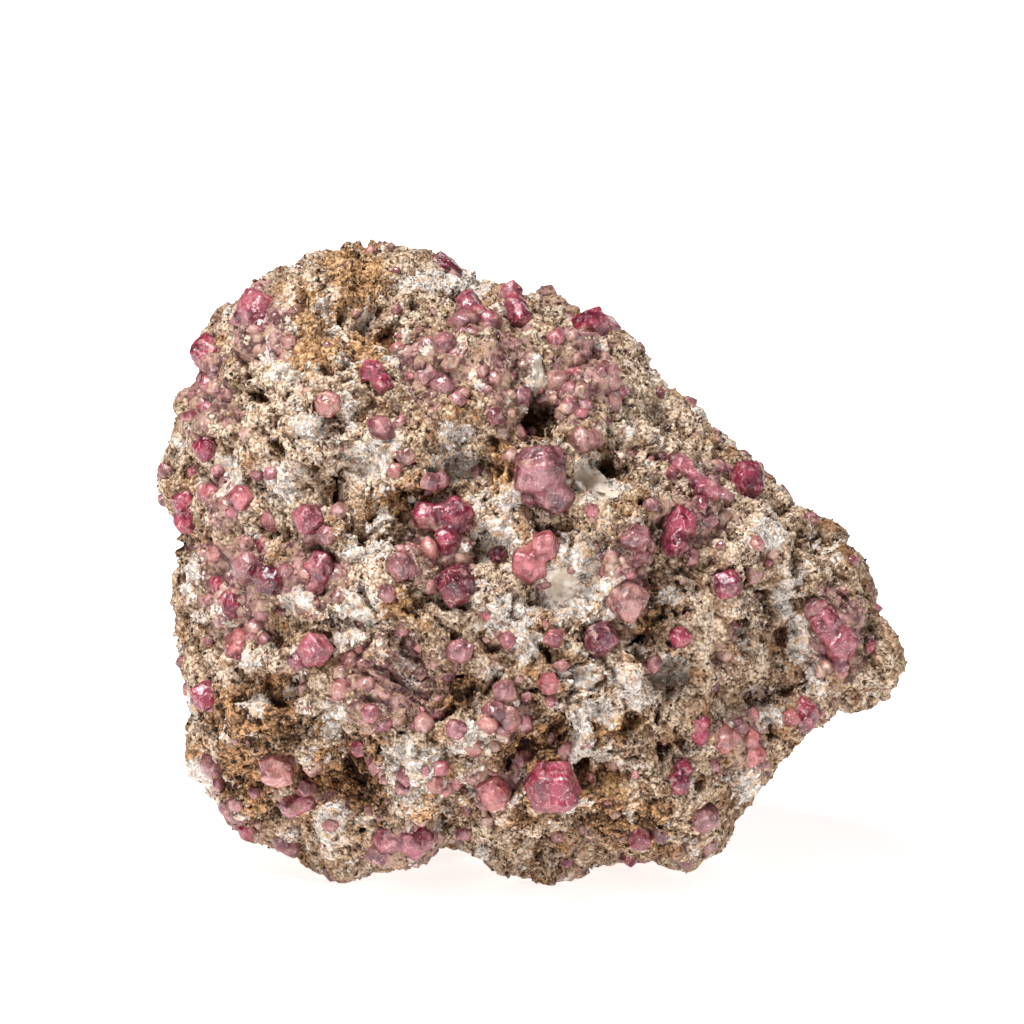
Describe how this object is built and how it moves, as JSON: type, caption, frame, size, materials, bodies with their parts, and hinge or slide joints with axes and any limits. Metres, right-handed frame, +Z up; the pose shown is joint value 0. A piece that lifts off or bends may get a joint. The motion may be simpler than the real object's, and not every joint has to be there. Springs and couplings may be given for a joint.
{
  "type": "raspberry garnet on matrix",
  "caption": "Natural mineral specimen: raspberry-pink garnet crystals set in a lump of porous tan and white skarn rock, for display on a flat surface.",
  "frame": {"origin": "middle of the bounding box's bottom, on the surface the specimen stands on", "axes": "+X to the viewer's right along the longest side, +Y away from the viewer through the specimen, +Z up"},
  "size_m": [0.0914, 0.066, 0.0778],
  "materials": {
    "matrix_rock": "rough, sugary and porous: tan and brown silicate grains with white calcite",
    "garnet_raspberry": "vitreous to frosted crystal faces, translucent raspberry pink",
    "garnet_coral": "vitreous to frosted crystal faces, coral pink",
    "garnet_salmon": "frosted crystal faces, salmon to peach pink",
    "garnet_mauve": "dusty, partly coated crystal faces, mauve",
    "garnet_magenta": "vitreous crystal faces, magenta pink",
    "garnet_plum": "vitreous crystal faces, dark plum"
  },
  "bodies": {
    "root": {"matrix_rock": "matrix_rock", "garnet_low_front": "garnet_raspberry", "garnet_pair_large": "garnet_raspberry", "garnet_pair_coral": "garnet_coral", "garnet_group_centre": "garnet_raspberry", "garnet_deep_centre": "garnet_raspberry", "garnet_mauve_left": "garnet_mauve", "garnet_round_left": "garnet_raspberry", "garnet_pair_left": "garnet_raspberry", "garnet_pair_inner_left": "garnet_raspberry", "garnet_salmon_left": "garnet_salmon", "garnet_red_left": "garnet_raspberry", "garnet_granular_left": "garnet_raspberry", "garnet_magenta_edge": "garnet_magenta", "garnet_peach_low_left": "garnet_salmon", "garnet_pair_low_left": "garnet_raspberry", "garnet_group_underside": "garnet_raspberry", "garnet_mauve_middle": "garnet_mauve", "garnet_gloss_low": "garnet_raspberry", "garnet_coral_low": "garnet_coral", "garnet_plum": "garnet_plum", "garnet_dusty_right": "garnet_mauve", "garnet_pair_right": "garnet_raspberry", "garnet_round_right": "garnet_raspberry", "garnet_small_right": "garnet_raspberry", "garnet_shoulder": "garnet_raspberry", "garnet_group_shoulder": "garnet_raspberry", "garnet_tall_low_right": "garnet_raspberry", "garnet_upright_right": "garnet_raspberry", "garnet_pair_salmon_right": "garnet_salmon", "garnet_mauve_low_right": "garnet_mauve", "garnet_group_nose": "garnet_raspberry", "garnet_under_nose": "garnet_raspberry", "garnet_foot_right": "garnet_raspberry", "garnet_salmon_low": "garnet_salmon", "garnet_peach_high": "garnet_salmon", "garnet_pair_high": "garnet_raspberry", "garnet_pair_block": "garnet_raspberry", "garnet_left_edge_high": "garnet_raspberry", "garnet_left_edge_magenta": "garnet_magenta", "garnet_left_edge_tall": "garnet_raspberry", "garnet_crest": "garnet_raspberry", "garnet_group_crest": "garnet_raspberry", "garnet_pair_crest": "garnet_raspberry", "garnet_shoulder_crest": "garnet_raspberry", "garnet_pair_dusty_high": "garnet_mauve", "garnet_mauve_bank": "garnet_mauve", "garnet_back_large": "garnet_raspberry", "garnet_back_high": "garnet_raspberry", "garnet_back_low": "garnet_raspberry", "garnet_back_left": "garnet_raspberry", "garnet_back_left_low": "garnet_raspberry", "garnet_back_right": "garnet_raspberry", "garnet_back_right_low": "garnet_raspberry", "garnet_left_face": "garnet_raspberry", "garnet_left_face_low": "garnet_raspberry", "garnet_right_face": "garnet_raspberry", "garnet_top": "garnet_raspberry", "garnet_top_back": "garnet_raspberry"}
  },
  "joints": []
}
